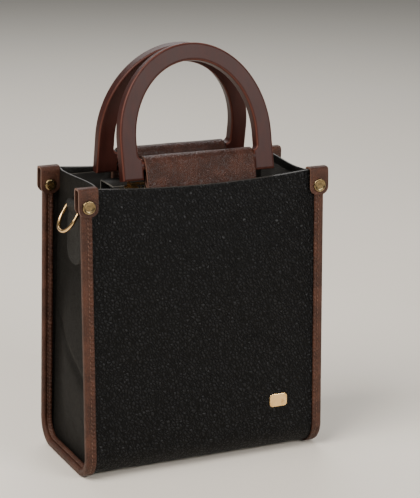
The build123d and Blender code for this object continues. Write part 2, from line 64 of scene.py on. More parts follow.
def high(node, axis):
    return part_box(node)[1][axis] / MM


def node_points(node):
    return [vert.co / MM for vert in frame["nodes"][node].data.vertices]


def joint_point(name):
    """Where a joint is, in metres."""
    return Vector(next(joint["pos_m"] for joint in frame["joints"] if joint["name"] == name))


HALF_WIDTH = high("right_binding", X)
BINDING_X = low("right_binding", X)
CORNER_TOP = high("right_binding", Z)
binding_points = node_points("right_binding")
widest = max(binding_points, key=lambda p: p.y)
TOP_HALF = max(p.y for p in binding_points if p.z > CORNER_TOP - 0.01)
SLOPE = (widest.y - TOP_HALF) / (CORNER_TOP - widest.z)
LEAN = math.atan(SLOPE)
BASE_CORNER = widest.z / (1 + math.sin(LEAN))
WRAP_END = high("body_wrap", X)
TAB_INNER_X = low("front_right_tab", X)
GUSSET_BASE_X = HALF_WIDTH - 10
GUSSET_CORNER_X = HALF_WIDTH - 14
GUSSET_MIDDLE_X = HALF_WIDTH - 17
TOP_SAG = CORNER_TOP - min(p.z for p in node_points("body_wrap") if p.z > CORNER_TOP - 8)

# Layers of a wall, from the outer face of the binding inwards
BINDING = 1.6
WRAP = 2.0
GUSSET = 1.6
LINING = 0.8
TAB = 1.8
LOOP = 2.6
FACING = 1.6
STRAP = 2.0
BOARD_IN = BINDING + WRAP
FLANGE_IN = BOARD_IN + GUSSET
STACK = FLANGE_IN + BINDING
CAVITY_IN = FLANGE_IN + LINING
LINING_FLOOR_IN = 7.4

# Places along a wall, a seam or a tab
BOARD_TOP = high("front_board", Z)
STITCH_PITCH = 3.7
SEAM_END = 3.0
RIVET_DROP = 15.5
RING_WIRE_RADIUS = 1.6
RING_CLEARANCE = 0.3


# ---- the section of the bag, walked from the middle of the base

ARC_Y = widest.y - BASE_CORNER * math.cos(LEAN)
ARC_RUN = ARC_Y + BASE_CORNER * (math.pi / 2 + LEAN)
HALF_GIRTH = ARC_RUN + (CORNER_TOP - widest.z) / math.cos(LEAN)


def girth(run, inset):
    """Point on a layer of the section, and its outward direction. Negative runs are on the front."""
    side = -1 if run < 0 else 1
    run = abs(run)
    if run <= ARC_Y:
        y, z, out_y, out_z = run, 0.0, 0.0, -1.0
    else:
        turn = min(run - ARC_Y, ARC_RUN - ARC_Y) / BASE_CORNER - math.pi / 2
        out_y, out_z = math.cos(turn), math.sin(turn)
        rise = max(0.0, run - ARC_RUN)
        y = ARC_Y + BASE_CORNER * out_y - rise * math.sin(LEAN)
        z = BASE_CORNER * (1 + out_z) + rise * math.cos(LEAN)
    return side * (y - out_y * inset), z - out_z * inset, side * out_y, out_z


def wall_y(inset, z):
    """Half depth of a wall layer at a height on the straight wall."""
    return TOP_HALF + SLOPE * (CORNER_TOP - z) - inset


def ramp(value, start, end):
    """0 at the start and 1 at the end, flat beyond both and smooth between them."""
    share = min(1.0, max(0.0, (value - start) / (end - start)))
    return share * share * (3 - 2 * share)


def crowded(along, share):
    """A fraction of a length, with a share of its steps drawn towards both ends."""
    return share * (0.5 - 0.5 * math.cos(math.pi * along)) + (1 - share) * along


def ripple(a, b, c, size):
    """Slow unevenness between -1 and 1."""
    return noise.noise(Vector((a, b, c)) / size)


# ---- finishes

class Tone:
    """A socket of a finish. Sums written with it become Math nodes."""

    def __init__(self, finish, socket):
        self.finish = finish
        self.socket = socket

    def math(self, operation, *terms):
        return self.finish.node("ShaderNodeMath", {"operation": operation}, dict(enumerate(terms)))

    def __add__(self, other):
        return self.math("ADD", self, other)

    def __sub__(self, other):
        return self.math("SUBTRACT", self, other)

    def __rsub__(self, other):
        return self.math("SUBTRACT", other, self)

    def __mul__(self, other):
        return self.math("MULTIPLY", self, other)

    __radd__ = __add__
    __rmul__ = __mul__

    def between(self, start, end):
        """0 below start, 1 above end, smooth between them."""
        inputs = {"Value": self, "From Min": start, "From Max": end}
        return self.finish.node("ShaderNodeMapRange", {"interpolation_type": "SMOOTHSTEP"}, inputs)


class Finish:
    """A material under construction."""

    def __init__(self, name):
        self.material = bpy.data.materials.new(name)
        self.material.use_nodes = True
        self.tree = self.material.node_tree
        self.tree.nodes.clear()

    def node(self, kind, settings=None, inputs=None, output=0):
        """A node of a kind, with its settings, and with values or links for its sockets."""
        node = self.tree.nodes.new(kind)
        for key, value in (settings or {}).items():
            setattr(node, key, value)
        for key, value in (inputs or {}).items():
            if isinstance(value, Tone):
                self.tree.links.new(value.socket, node.inputs[key])
            elif isinstance(value, tuple) and len(value) == 3 and node.inputs[key].type == "RGBA":
                node.inputs[key].default_value = (*value, 1)
            else:
                node.inputs[key].default_value = value
        return Tone(self, node.outputs[output])

    def place(self, scale=(1, 1, 1), turn=(0, 0, 0)):
        """Object coordinates, turned by degrees and scaled, for patterns that keep a real size."""
        where = self.node("ShaderNodeTexCoord", output="Object")
        turned = tuple(math.radians(angle) for angle in turn)
        turned = self.node("ShaderNodeMapping", None, {"Vector": where, "Rotation": turned})
        return self.node("ShaderNodeMapping", None, {"Vector": turned, "Scale": scale})

    def clouds(self, where, size, detail=2.0, rough=0.5):
        """Noise with features of a size in millimetres."""
        inputs = {"Vector": where, "Scale": 1 / (size * MM), "Detail": detail, "Roughness": rough}
        return self.node("ShaderNodeTexNoise", None, inputs)

    def stray(self, where, size, amount):
        """Coordinates pushed about by noise, by an amount in millimetres."""
        inputs = {"Vector": where, "Scale": 1 / (size * MM), "Detail": 2.0}
        push = self.node("ShaderNodeTexNoise", None, inputs, "Color")
        centred = self.vector("SUBTRACT", push, (0.5, 0.5, 0.5))
        return self.vector("ADD", where, self.vector("SCALE", centred, None, 2 * amount * MM))

    def vector(self, operation, first, second=None, scale=None, output=0):
        inputs = {0: first}
        if second is not None:
            inputs[1] = second
        if scale is not None:
            inputs["Scale"] = scale
        return self.node("ShaderNodeVectorMath", {"operation": operation}, inputs, output)

    def cells(self, where, size):
        """Cells of a size in millimetres, as the distance to their edge."""
        inputs = {"Vector": where, "Scale": 1 / (size * MM)}
        return self.node("ShaderNodeTexVoronoi", {"feature": "DISTANCE_TO_EDGE"}, inputs)

    def bands(self, where, direction, pitch, distortion=0.0):
        """Soft bands that repeat at a pitch in millimetres. A scale of 1 gives 20 radians to a metre."""
        scale = 2 * math.pi / (20 * pitch * MM)
        inputs = {"Vector": where, "Scale": scale, "Distortion": distortion}
        return self.node("ShaderNodeTexWave", {"wave_type": "BANDS", "bands_direction": direction}, inputs)

    def mix(self, factor, first, second):
        inputs = {0: factor, 6: first, 7: second}
        return self.node("ShaderNodeMix", {"data_type": "RGBA"}, inputs, 2)

    def bump(self, height, depth, under=None):
        """Relief whose full height is a depth in millimetres."""
        inputs = {"Height": height, "Distance": depth * MM, "Strength": 1.0}
        if under:
            inputs["Normal"] = under
        return self.node("ShaderNodeBump", None, inputs)

    def shader(self, **sockets):
        """Ends the material. Underscores in socket names stand for spaces."""
        inputs = {name.replace("_", " "): value for name, value in sockets.items()}
        surface = self.node("ShaderNodeBsdfPrincipled", None, inputs)
        output = self.tree.nodes.new("ShaderNodeOutputMaterial")
        self.tree.links.new(surface.socket, output.inputs["Surface"])
        return self.material


def pebbled_leather(name, dark, light, pebble, stretch, turn, depth, rough):
    """Grained leather: rounded pebbles drawn out along one direction, with a softer wave under them."""
    f = Finish(name)
    where = f.stray(f.place((1, 1, 1 / stretch), turn), pebble * 2.5, pebble * 0.45)
    edge = f.cells(where, pebble).between(0.02, 0.34)
    pores = f.clouds(f.place(), pebble * 0.22, detail=3.0, rough=0.6)
    wave = f.clouds(f.place(), 34.0)
    wear_and_edge_sheen = f.clouds(f.place(), 9.0, detail=4.0, rough=0.6).between(0.42, 0.72)
    colour = f.mix(edge * (0.7 + 0.3 * wear_and_edge_sheen), dark, light)
    relief = f.bump(wave, 1.2, f.bump(edge + pores * 0.05, depth))
    shine = rough + 0.12 * (1 - edge) + 0.08 * wear_and_edge_sheen
    return f.shader(Base_Color=colour, Roughness=shine, Normal=relief, Specular_IOR_Level=0.12)


def brown_leather_finish(name, dark, light, grain, depth, rough):
    """Oiled leather with fine speckled grain."""
    f = Finish(name)
    where = f.stray(f.place(), grain * 3, grain * 0.5)
    edge = f.cells(where, grain).between(0.0, 0.4)
    specks = f.clouds(f.place(), grain * 0.4, detail=3.0, rough=0.65)
    patch = f.clouds(f.place(), 14.0, detail=4.0, rough=0.6)
    colour = f.mix(edge * 0.5 + patch.between(0.35, 0.7) * 0.5, dark, light)
    relief = f.bump(patch, 0.5, f.bump(edge + specks * 0.5, depth))
    shine = rough + 0.14 * specks - 0.1 * edge
    return f.shader(Base_Color=colour, Roughness=shine, Normal=relief, Specular_IOR_Level=0.26)


def painted_edge(name, colour, light):
    """Cut edge of leather, sealed with paint: fine fibres under a soft shine."""
    f = Finish(name)
    fibres = f.clouds(f.place(), 0.5, detail=4.0, rough=0.7)
    drag = f.clouds(f.place(), 5.0, detail=3.0)
    tone = f.mix(fibres.between(0.3, 0.75) * 0.6 + drag * 0.4, colour, light)
    return f.shader(Base_Color=tone, Roughness=0.42 + fibres * 0.2, Normal=f.bump(fibres, 0.12),
                    Specular_IOR_Level=0.4)


def lacquered_wood_finish(name, point, normal, half_thick):
    """Dark stained wood under satin lacquer, painted lighter along its rounded edges: a painted highlight
    where the fillets catch the light.

    The board's middle plane goes through the point, and its faces look along the normal.
    """
    f = Finish(name)
    bent = f.stray(f.place((1, 1, 0.12)), 30.0, 2.5)
    rings = f.clouds(bent, 5.0, detail=3.0, rough=0.5)
    pores = f.clouds(f.place((1, 1, 0.06)), 0.5, detail=3.0, rough=0.7)
    wash = f.clouds(f.place(), 40.0)
    away = f.vector("DOT_PRODUCT", f.vector("SUBTRACT", f.place(), point), normal, output="Value")
    away = away.math("ABSOLUTE", away)
    # Painted highlight: a band over the rounded edges, leaving out the outermost strip, is painted lighter
    # below.
    wear_and_edge_sheen = away.between((half_thick - 1.9) * MM, (half_thick - 1.0) * MM)
    arris = wear_and_edge_sheen * (1 - away.between((half_thick - 0.4) * MM, (half_thick - 0.1) * MM))
    colour = f.mix(rings.between(0.25, 0.75), (0.028, 0.0076, 0.0055), (0.038, 0.0102, 0.0073))
    colour = f.mix(pores.between(0.62, 0.8) * 0.3, colour, (0.018, 0.0045, 0.0032))
    # Painted highlight along the rounded edges, patchy with the wash.
    colour = f.mix(arris * (0.3 + 0.4 * wash), colour, (0.13, 0.042, 0.028))
    relief = f.bump(wash, 0.25, f.bump(pores, 0.02))
    shine = 0.38 + 0.06 * rings + 0.06 * wash
    return f.shader(Base_Color=colour, Roughness=shine, Normal=relief, Specular_IOR_Level=0.17)


def gold_finish(name, base, dull, rough):
    """Plated metal with fine brushing, hairline marks and duller patches."""
    f = Finish(name)
    brushed = f.clouds(f.place((1, 1, 14)), 1.2, detail=3.0, rough=0.6)
    scratch = f.cells(f.stray(f.place((1, 6, 1), (20, 35, 0)), 9.0, 2.0), 3.2).between(0.0, 0.03)
    patch = f.clouds(f.place(), 4.5, detail=4.0, rough=0.6).between(0.4, 0.75)
    colour = f.mix(patch * 0.7, base, dull)
    relief = f.bump(brushed * 0.5 + scratch * 0.06, 0.02)
    shine = rough + 0.14 * patch + 0.06 * brushed
    return f.shader(Base_Color=colour, Metallic=1.0, Roughness=shine, Normal=relief)


def woven_finish(name, dark, light, thread, depth):
    """Plain weave: two sets of threads that take turns to lie on top."""
    f = Finish(name)
    where = f.place()
    weft, fold, warp = [f.bands(where, direction, 2 * thread) for direction in "XYZ"]
    fuzz = f.clouds(f.place(), thread * 0.35, detail=3.0, rough=0.7)
    over = weft * warp + (1 - weft) * (1 - warp) * 0.8 + fold * 0.35
    wear = f.clouds(f.place(), 16.0, detail=3.0)
    colour = f.mix(over * 0.6 + fuzz * 0.25 + wear * 0.15, dark, light)
    return f.shader(Base_Color=colour, Roughness=0.85, Normal=f.bump(over + fuzz * 0.4, depth),
                    Specular_IOR_Level=0.2)


def thread_finish(name, dark, light):
    """Twisted thread with a waxed surface."""
    f = Finish(name)
    twist = f.bands(f.place(), "DIAGONAL", 0.9 * math.pi, 1.5)
    fuzz = f.clouds(f.place(), 0.2, detail=3.0, rough=0.7)
    colour = f.mix(twist * 0.7 + fuzz * 0.3, dark, light)
    return f.shader(Base_Color=colour, Roughness=0.55 + 0.2 * fuzz, Normal=f.bump(twist, 0.09))


def stiffener_finish():
    """Pressed grey board with stray fibres."""
    f = Finish("stiffener_board")
    fibres = f.clouds(f.place((1, 1, 0.3)), 1.2, detail=5.0, rough=0.7)
    colour = f.mix(fibres.between(0.35, 0.7), (0.09, 0.08, 0.068), (0.17, 0.15, 0.125))
    return f.shader(Base_Color=colour, Roughness=0.9, Normal=f.bump(fibres, 0.2))


def floor_finish():
    """Pale painted floor, with the faintest mottling, paler near the bag and darker farther out: a painted
    pool of light.
    """
    f = Finish("pale_floor")
    cloud = f.clouds(f.place(), 320.0, detail=3.0)
    fine = f.clouds(f.place(), 6.0, detail=3.0)
    # Painted pool of light round the bag: the floor darkens with distance from it.
    away = f.vector("LENGTH", f.place(), output="Value").between(0.5, 2.6)
    near = f.mix(cloud, (0.74, 0.68, 0.595), (0.79, 0.73, 0.645))
    colour = f.mix(away, near, (0.52, 0.495, 0.445))
    return f.shader(Base_Color=colour, Roughness=0.62, Normal=f.bump(fine, 0.15), Specular_IOR_Level=0.25)


BLACK = pebbled_leather("black_pebbled_leather", (0.0001, 0.0001, 0.0002), (0.0125, 0.0128, 0.0138),
                        pebble=2.5, stretch=1.35, turn=(0, 38, 0), depth=0.55, rough=0.32)
GUSSET_BLACK = pebbled_leather("black_gusset_leather", (0.004, 0.0037, 0.0032), (0.0135, 0.0122, 0.0102),
                               pebble=1.2, stretch=1.2, turn=(0, 0, 0), depth=0.18, rough=0.48)
STRAP_BLACK = pebbled_leather("black_strap_leather", (0.012, 0.0115, 0.0105), (0.04, 0.038, 0.034),
                              pebble=1.4, stretch=1.2, turn=(0, 0, 0), depth=0.22, rough=0.48)
BLACK_EDGE = painted_edge("black_painted_edge", (0.016, 0.015, 0.0138), (0.052, 0.048, 0.043))
# Pale grey for the zip facings' edges: a painted highlight for the sheen along them.
PALE_EDGE_HIGHLIGHT = painted_edge("pale_edge_painted_highlight", (0.075, 0.07, 0.062), (0.21, 0.195, 0.17))
BROWN = brown_leather_finish("brown_leather", (0.028, 0.0094, 0.0048), (0.092, 0.0335, 0.0178),
                             grain=1.5, depth=0.26, rough=0.46)
LOOP_BROWN = brown_leather_finish("brown_loop_leather", (0.02, 0.0062, 0.0034), (0.062, 0.0195, 0.0102),
                                  grain=1.7, depth=0.34, rough=0.38)
BROWN_EDGE = painted_edge("brown_painted_edge", (0.07, 0.031, 0.021), (0.19, 0.1, 0.068))
BROWN_THREAD = thread_finish("brown_thread", (0.055, 0.024, 0.015), (0.17, 0.09, 0.06))
BLACK_THREAD = thread_finish("black_thread", (0.002, 0.002, 0.002), (0.014, 0.013, 0.012))
BRIGHT_GOLD = gold_finish("bright_gold", (0.78, 0.52, 0.24), (0.56, 0.34, 0.13), rough=0.13)
RIVET_GOLD = gold_finish("aged_gold", (0.25, 0.185, 0.095), (0.13, 0.09, 0.042), rough=0.2)
TOOTH_METAL = gold_finish("tooth_brass", (0.3, 0.24, 0.15), (0.14, 0.11, 0.07), rough=0.3)
CLOTH = woven_finish("lining_cloth", (0.018, 0.017, 0.016), (0.05, 0.047, 0.043), thread=0.9, depth=0.25)
TAPE = woven_finish("zip_tape", (0.006, 0.006, 0.006), (0.024, 0.023, 0.022), thread=0.8, depth=0.3)
BOARD = stiffener_finish()


# ---- making a piece

def grid(columns, rows, place):
    """A sheet of faces, each corner put in place by its two fractions across and along."""
    bm = bmesh.new()
    bmesh.ops.create_grid(bm, x_segments=columns, y_segments=rows, size=0.5)
    for vert in bm.verts:
        vert.co = place(vert.co.x + 0.5, vert.co.y + 0.5)
    return bm


def face_out(bm, near, direction):
    """Turns the whole sheet over if its face nearest a point looks away from a direction."""
    bm.normal_update()
    nearest = min(bm.faces, key=lambda face: (face.calc_center_median() - Vector(near)).length)
    if nearest.normal.dot(Vector(direction)) < 0:
        bmesh.ops.reverse_faces(bm, faces=bm.faces[:])


def thicken(bm, thickness, rounding):
    """Adds the back of a sheet, and rounds its rim. The rim takes the piece's second finish."""
    shown = set(bm.verts)
    bmesh.ops.solidify(bm, geom=bm.faces[:], thickness=thickness)
    rim = {face for face in bm.faces if 0 < sum(vert in shown for vert in face.verts) < len(face.verts)}
    for face in rim:
        face.material_index = 1
    if rounding:
        arris = [e for e in bm.edges if sum(face in rim for face in e.link_faces) == 1]
        bmesh.ops.bevel(bm, geom=arris, offset=rounding, offset_type="OFFSET", segments=2, profile=0.5,
                        affect="EDGES", material=-1, clamp_overlap=True)


def make(name, bm, finishes, replaces=(), crease=42):
    """Ends a piece of the bag: metres, finishes, shading and the CAD nodes that it stands for."""
    bmesh.ops.scale(bm, vec=(MM, MM, MM), verts=bm.verts)
    mesh = bpy.data.meshes.new(name)
    bm.to_mesh(mesh)
    bm.free()
    for finish in finishes:
        mesh.materials.append(finish)
    mesh.shade_smooth()
    mesh.set_sharp_from_angle(angle=math.radians(crease))
    piece = bpy.data.objects.new(name, mesh)
    bpy.context.scene.collection.objects.link(piece)
    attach(piece, "bag")
    if replaces:
        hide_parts(*replaces)
    return piece


class Track:
    """A line of points in a plane that can be walked by length."""

    def __init__(self, points):
        self.points = [Vector(p) for p in points]
        self.marks = [0.0]
        for a, b in zip(self.points, self.points[1:]):
            self.marks.append(self.marks[-1] + (b - a).length)
        self.length = self.marks[-1]

    def at(self, run):
        last = len(self.points) - 2
        index = next((step for step in range(last) if run <= self.marks[step + 1]), last)
        a, b = self.points[index], self.points[index + 1]
        share = (run - self.marks[index]) / max(self.marks[index + 1] - self.marks[index], 1e-9)
        return a + (b - a) * share


def arc(middle, radius, start, end, steps):
    """Points on an arc, between two angles in degrees."""
    turns = [math.radians(start + (end - start) * k / steps) for k in range(steps + 1)]
    return [(middle[0] + radius * math.cos(t), middle[1] + radius * math.sin(t)) for t in turns]


def rounded_tip(length, half, radius):
    """Half width of a strap at a distance from its rounded tip."""
    if length >= radius:
        return half
    return half - radius + math.sqrt(max(0.0, radius ** 2 - (radius - length) ** 2))


# ---- wrap: front, base and back in one sheet

def edge_drop(x):
    """How far the top edge sags at a place across the width."""
    edge = TAB_INNER_X - 1
    return TOP_SAG * max(0.0, 1 - (x / edge) ** 2)


def top_run(x):
    return HALF_GIRTH - edge_drop(x) / math.cos(LEAN)


def swell(x, run, face):
    """How far the stuffed wall stands out from flat: a little all over, and most in a belly near the top."""
    from_side = BINDING_X - abs(x)
    above_base = abs(run) - ARC_RUN
    below_top = HALF_GIRTH - abs(run)
    pad = 1.15 + 0.55 * ripple(x, run, face * 60, 58) + 0.22 * ripple(x, run, face * 31, 23)
    pad *= ramp(from_side, 1.5, 17.5) * ramp(above_base, -8, 26) * (1 - 0.65 * ramp(below_top, 26, 4))
    belly = 3.0 + 0.75 * ripple(x, run, face * 12, 70)
    belly *= ramp(from_side, 0, 46) * ramp(above_base, 60, 150) * ramp(below_top, 2, 66)
    return pad + belly


def wrap_point(across, along):
    """Place on the outer face of the wrap, with its runs shortened to follow the sag of the top edges."""
    x = (2 * across - 1) * WRAP_END
    run = (2 * along - 1) * HALF_GIRTH
    face = FRONT if run < 0 else REAR
    if abs(run) > ARC_RUN:
        share = (top_run(x) - ARC_RUN) / (HALF_GIRTH - ARC_RUN)
        run = face * (ARC_RUN + (abs(run) - ARC_RUN) * share)
    y, z, out_y, out_z = girth(run, BINDING)
    out = swell(x, run, face)
    return Vector((x, y + out_y * out, z + out_z * out))


def body_wrap():
    """Pebbled leather from the front edge under the base to the back edge."""
    bm = grid(84, 220, wrap_point)
    face_out(bm, (0, -50, 120), (0, -1, 0))
    thicken(bm, WRAP, rounding=0.55)
    make("wrap_leather", bm, [BLACK, BLACK_EDGE], ["body_wrap"])


def top_stay(face):
    """Strip behind the top edge that covers the board."""
    half = TAB_INNER_X - 3
    foot = BOARD_TOP + 0.3
    lip = 0.25

    def place(across, along):
        x = (2 * across - 1) * half
        z = foot + (CORNER_TOP - edge_drop(x) - lip - foot) * along
        return Vector((x, face * wall_y(BOARD_IN + 1.5, z), z))

    bm = grid(60, 3, place)
    face_out(bm, (0, face * 44, 246), (0, -face, 0))
    thicken(bm, 1.45, rounding=0.45)
    make(FACES[face] + "_top_stay", bm, [STRAP_BLACK, BLACK_EDGE])


# ---- gussets and lining

MOUTH_SLACK = 4.6
RING_HOLLOW = 1.6
RIDGE = 4.6
RIDGE_Y = 12.0
CREASE = 1.9
CREASE_Z = 92.0
CREASE_SLANT = 0.7
CREASE_WIDTH = 5.0


def gusset_x(y, z, inset=0.0):
    """Half width out to the face of a gusset: folded in at its middle, with the folds of slack leather."""
    depth = abs(y)
    top = GUSSET_CORNER_X - (GUSSET_CORNER_X - GUSSET_MIDDLE_X) * ramp(depth, 46, 26)
    x = GUSSET_BASE_X - (GUSSET_BASE_X - top) * z / CORNER_TOP
    x += MOUTH_SLACK * ramp(z, 206, CORNER_TOP) * ramp(depth, 44, 28) * ramp(y, -24, 28)
    x -= RING_HOLLOW * ramp(depth, 44, 0) * ramp(z, 150, 190) * ramp(z, 232, 192)
    ridge = ramp(y, RIDGE_Y - 56, RIDGE_Y) * ramp(y, RIDGE_Y + 34, RIDGE_Y)
    x += RIDGE * ridge * ramp(z, 16, 76) * ramp(z, 174, 124)
    crease = (z - CREASE_Z - CREASE_SLANT * y) / CREASE_WIDTH
    x -= CREASE * math.exp(-crease ** 2) * ramp(depth, 46, 32)
    return x - inset


def gusset(side):
    """End panel, with a flange turned out along the wrap to its edge."""

    def place(across, along):
        run = HALF_GIRTH + (ARC_Y - HALF_GIRTH) * along
        y, z, _, _ = girth(run, FLANGE_IN)
        y *= 2 * across - 1
        return Vector((side * gusset_x(y, z), y, z))

    bm = grid(44, 96, place)
    top = max(vert.co.z for vert in bm.verts)
    seam = [e for e in bm.edges if e.is_boundary and min(v.co.z for v in e.verts) < top - 0.3]
    flange = bmesh.ops.extrude_edge_only(bm, edges=seam)["geom"]
    for vert in (part for part in flange if isinstance(part, bmesh.types.BMVert)):
        vert.co.x = side * WRAP_END
    bmesh.ops.bevel(bm, geom=seam, offset=2.2, offset_type="OFFSET", segments=3, profile=0.5,
                    affect="EDGES", material=-1, clamp_overlap=True)
    face_out(bm, (side * 98, 0, 100), (side, 0, 0))
    thicken(bm, GUSSET, rounding=0.45)
    make(SIDES[side] + "_gusset_leather", bm, [GUSSET_BLACK, BLACK_EDGE],
         [SIDES[side] + "_gusset"])


def cloth_area(bm):
    """Area of a sheet before it gets its thickness, in square metres."""
    return sum(part.calc_area() for part in bm.faces) * MM ** 2


LINING_GAP = GUSSET + 0.15
LINING_SHEET = LINING * 0.8
LINING_ROWS = 96
LINING_REACH = ARC_RUN + (HALF_GIRTH - ARC_RUN) * (BOARD_TOP - widest.z) / (CORNER_TOP - widest.z)


def on_board(z):
    """The floor of the lining lies on the base board."""
    return z + (LINING_FLOOR_IN - CAVITY_IN) * ramp(z, CAVITY_IN + 16, CAVITY_IN)


def lining_body():
    """The long strip: front, floor and back. It falls a little away from the walls between its seams."""

    def place(across, along):
        run = (2 * along - 1) * LINING_REACH
        y, z, out_y, out_z = girth(run, CAVITY_IN)
        z = on_board(z)
        x = (2 * across - 1) * gusset_x(y, z, LINING_GAP)
        free = ramp(abs(x), 88, 58) * ramp(z, 20, 60) * ramp(z, 212, 192)
        fall = free * (0.9 + 0.8 * ripple(x, z, y, 30))
        return Vector((x, y - out_y * fall, z - out_z * fall))

    bm = grid(48, 2 * LINING_ROWS, place)
    face_out(bm, (0, 0, LINING_FLOOR_IN), (0, 0, 1))
    area = cloth_area(bm)
    thicken(bm, LINING_SHEET, rounding=0)
    body = make("lining_body", bm, [CLOTH, CLOTH], ["lining"])
    cut = (2 * (GUSSET_BASE_X - LINING_GAP) * MM, 2 * LINING_REACH * MM)


def lining_end(side):
    """The cloth over a gusset. It puffs a little away from the leather."""

    def place(across, along):
        run = LINING_REACH + (ARC_Y - LINING_REACH) * along
        y, z, _, _ = girth(run, CAVITY_IN)
        y *= 2 * across - 1
        z = on_board(z)
        puff = 0.5 * ripple(y, z, side * 40, 26) * ramp(abs(y), 44, 24)
        return Vector((side * (gusset_x(y, z, LINING_GAP) - max(0.0, puff)), y, z))

    bm = grid(40, LINING_ROWS, place)
    face_out(bm, (side * GUSSET_MIDDLE_X, 0, 100), (-side, 0, 0))
    area = cloth_area(bm)
    thicken(bm, LINING_SHEET, rounding=0)
    panel = make(SIDES[side] + "_lining_end", bm, [CLOTH, CLOTH])
    cut = (2 * wall_y(CAVITY_IN, widest.z) * MM, (BOARD_TOP - LINING_FLOOR_IN) * MM)


def lining():
    """Cloth bag inside: one long strip and two ends, sewn where they meet."""
    lining_body()
    for side in SIDES:
        lining_end(side)


# ---- bindings and tabs

def binding_outline():
    """Section of the folded strip: place across the width, and depth in from the outer face."""
    x = BINDING_X
    end = HALF_WIDTH
    bend = 2.3
    outer = [(x, 1.5), (x, 0.55), (x + 0.3, 0.05), (x + 0.9, -0.2), (x + 1.8, -0.28), (x + 2.7, -0.1),
             (x + 3.3, 0.3), (x + 3.8, 0.55), (x + 4.3, 0.35), (x + 5.1, 0.05), (x + 5.8, 0)]
    fold = arc((end - bend, bend), bend, -90, 0, 5) + arc((end - bend, STACK - bend), bend, 0, 90, 5)
    inner = [(x + 6.0, STACK - 0.1), (x + 5.2, STACK - 0.5), (x + 4.3, STACK - 0.75), (x + 3.6, STACK - 0.6),
             (x + 2.9, STACK - 0.1), (x + 2.2, STACK + 0.25), (x + 1.4, STACK + 0.3), (x + 0.6, STACK + 0.1),
             (x + 0.15, STACK - 0.3), (x, STACK - 0.8), (x, FLANGE_IN + 0.05)]
    slot = end - BINDING
    channel = [(x + 4, FLANGE_IN + 0.05), (slot, FLANGE_IN), (slot, BINDING), (x + 4, BINDING)]
    return outer + fold + inner + channel


# The outline, and the points of its two faces that each stitch pulls in
OUTLINE = binding_outline()
OUTER_PUCKER = range(2, 8)
INNER_PUCKER = range(25, 31)
OFF_THE_FLOOR = 0.03


def binding(side):
    """Strip folded over the raw edges, puckered by its stitches, with six steps to a stitch."""
    count = len(OUTLINE)
    steps = round(2 * HALF_GIRTH / STITCH_PITCH) * 6

    def place(across, along):
        index = round(across * count) % count
        run = (2 * along - 1) * HALF_GIRTH
        x, inset = OUTLINE[index]
        beat = math.cos(2 * math.pi * run / STITCH_PITCH)
        drift = 0.12 * ripple(run, index * 0.3, side * 9, 11)
        if index in OUTER_PUCKER:
            inset -= 0.28 * beat + drift
            if abs(run) < ARC_RUN:
                inset = max(inset, OFF_THE_FLOOR)
        elif index in INNER_PUCKER:
            inset += 0.3 * beat + drift
        y, z, _, _ = girth(run, inset)
        return Vector((side * x, y, z))

    bm = grid(count, steps, place)
    bmesh.ops.remove_doubles(bm, verts=bm.verts, dist=1e-4)
    ends = [e for e in bm.edges if e.is_boundary]
    bmesh.ops.holes_fill(bm, edges=ends, sides=0)
    bmesh.ops.recalc_face_normals(bm, faces=bm.faces)
    make(SIDES[side] + "_binding_strip", bm, [BROWN], [SIDES[side] + "_binding"], crease=60)


def tab(side, face):
    """Strip folded over a top corner, pressed in round its rivet and at its edges."""
    node = FACES[face] + "_" + SIDES[side] + "_tab"
    tip, crown = low(node, Z), high(node, Z)
    half = (high(node, X) - low(node, X)) / 2
    middle = (high(node, X) + low(node, X)) / 2
    rivet = crown - RIVET_DROP
    turn = 3.2
    tip_radius = 7.2
    dent, dent_spread = 0.35, 48
    heights = [tip + (crown - turn - tip) * k / 8 for k in range(9)]
    outer = [(wall_y(-TAB, z), z) for z in heights]
    inner = [(wall_y(STACK + TAB, z), z) for z in heights]
    outer_turn = arc((outer[-1][0] - turn, crown - turn), turn, 0, 90, 6)
    inner_turn = arc((inner[-1][0] + turn, crown - turn), turn, 90, 180, 6)
    track = Track(outer[:-1] + outer_turn + inner_turn + inner[::-1][1:])

    def place(across, along):
        run = track.length * crowded(along, 0.7)
        y, z = track.at(run)
        lateral = (2 * across - 1) * rounded_tip(min(run, track.length - run), half, tip_radius)
        press = dent * math.exp(-(lateral ** 2 + (z - rivet) ** 2) / dent_spread)
        press -= 0.3 * ramp(abs(lateral), half - 4, half) * ramp(z, crown, crown - 12)
        outward = 1 if run < track.length / 2 else -1
        return Vector((middle + side * lateral, face * (y - outward * press), z))

    bm = grid(16, 64, place)
    face_out(bm, (middle, face * 50, 240), (0, face, 0))
    thicken(bm, TAB - 0.1, rounding=0.5)
    make(node + "_leather", bm, [BROWN, BROWN_EDGE], [node])


def rivet_caps():
    """Pressed caps with a rolled rim round a dished middle."""
    seat = 0.05
    dish = [(0, 0.62), (2.2, 0.6), (3.7, 0.5)]
    rim = [(4.2, 0.8), (4.7, 1.3), (5.1, 1.4), (5.5, 1.2), (5.75, 0.7), (5.8, 0.2)]
    underside = [(5.7, -0.3), (0, -0.3)]
    bm = bmesh.new()
    for side in SIDES:
        for face in FACES:
            node = FACES[face] + "_" + SIDES[side] + "_tab"
            x = (high(node, X) + low(node, X)) / 2
            z = high(node, Z) - RIVET_DROP
            middle = Vector((x, face * wall_y(seat - TAB, z), z))
            out = Vector((0, face * math.cos(LEAN), math.sin(LEAN)))
            verts = [bm.verts.new(middle + Vector((radius, 0, 0)) + out * height)
                     for radius, height in dish + rim + underside]
            edges = [bm.edges.new(pair) for pair in zip(verts, verts[1:])]
            bmesh.ops.spin(bm, geom=verts + edges, cent=middle, axis=out, angle=2 * math.pi, steps=40,
                           use_merge=True)
    bmesh.ops.remove_doubles(bm, verts=bm.verts, dist=1e-4)
    bmesh.ops.recalc_face_normals(bm, faces=bm.faces)
    make("rivet_caps_metal", bm, [RIVET_GOLD], ["rivet_caps"], crease=50)


# ---- handle loops

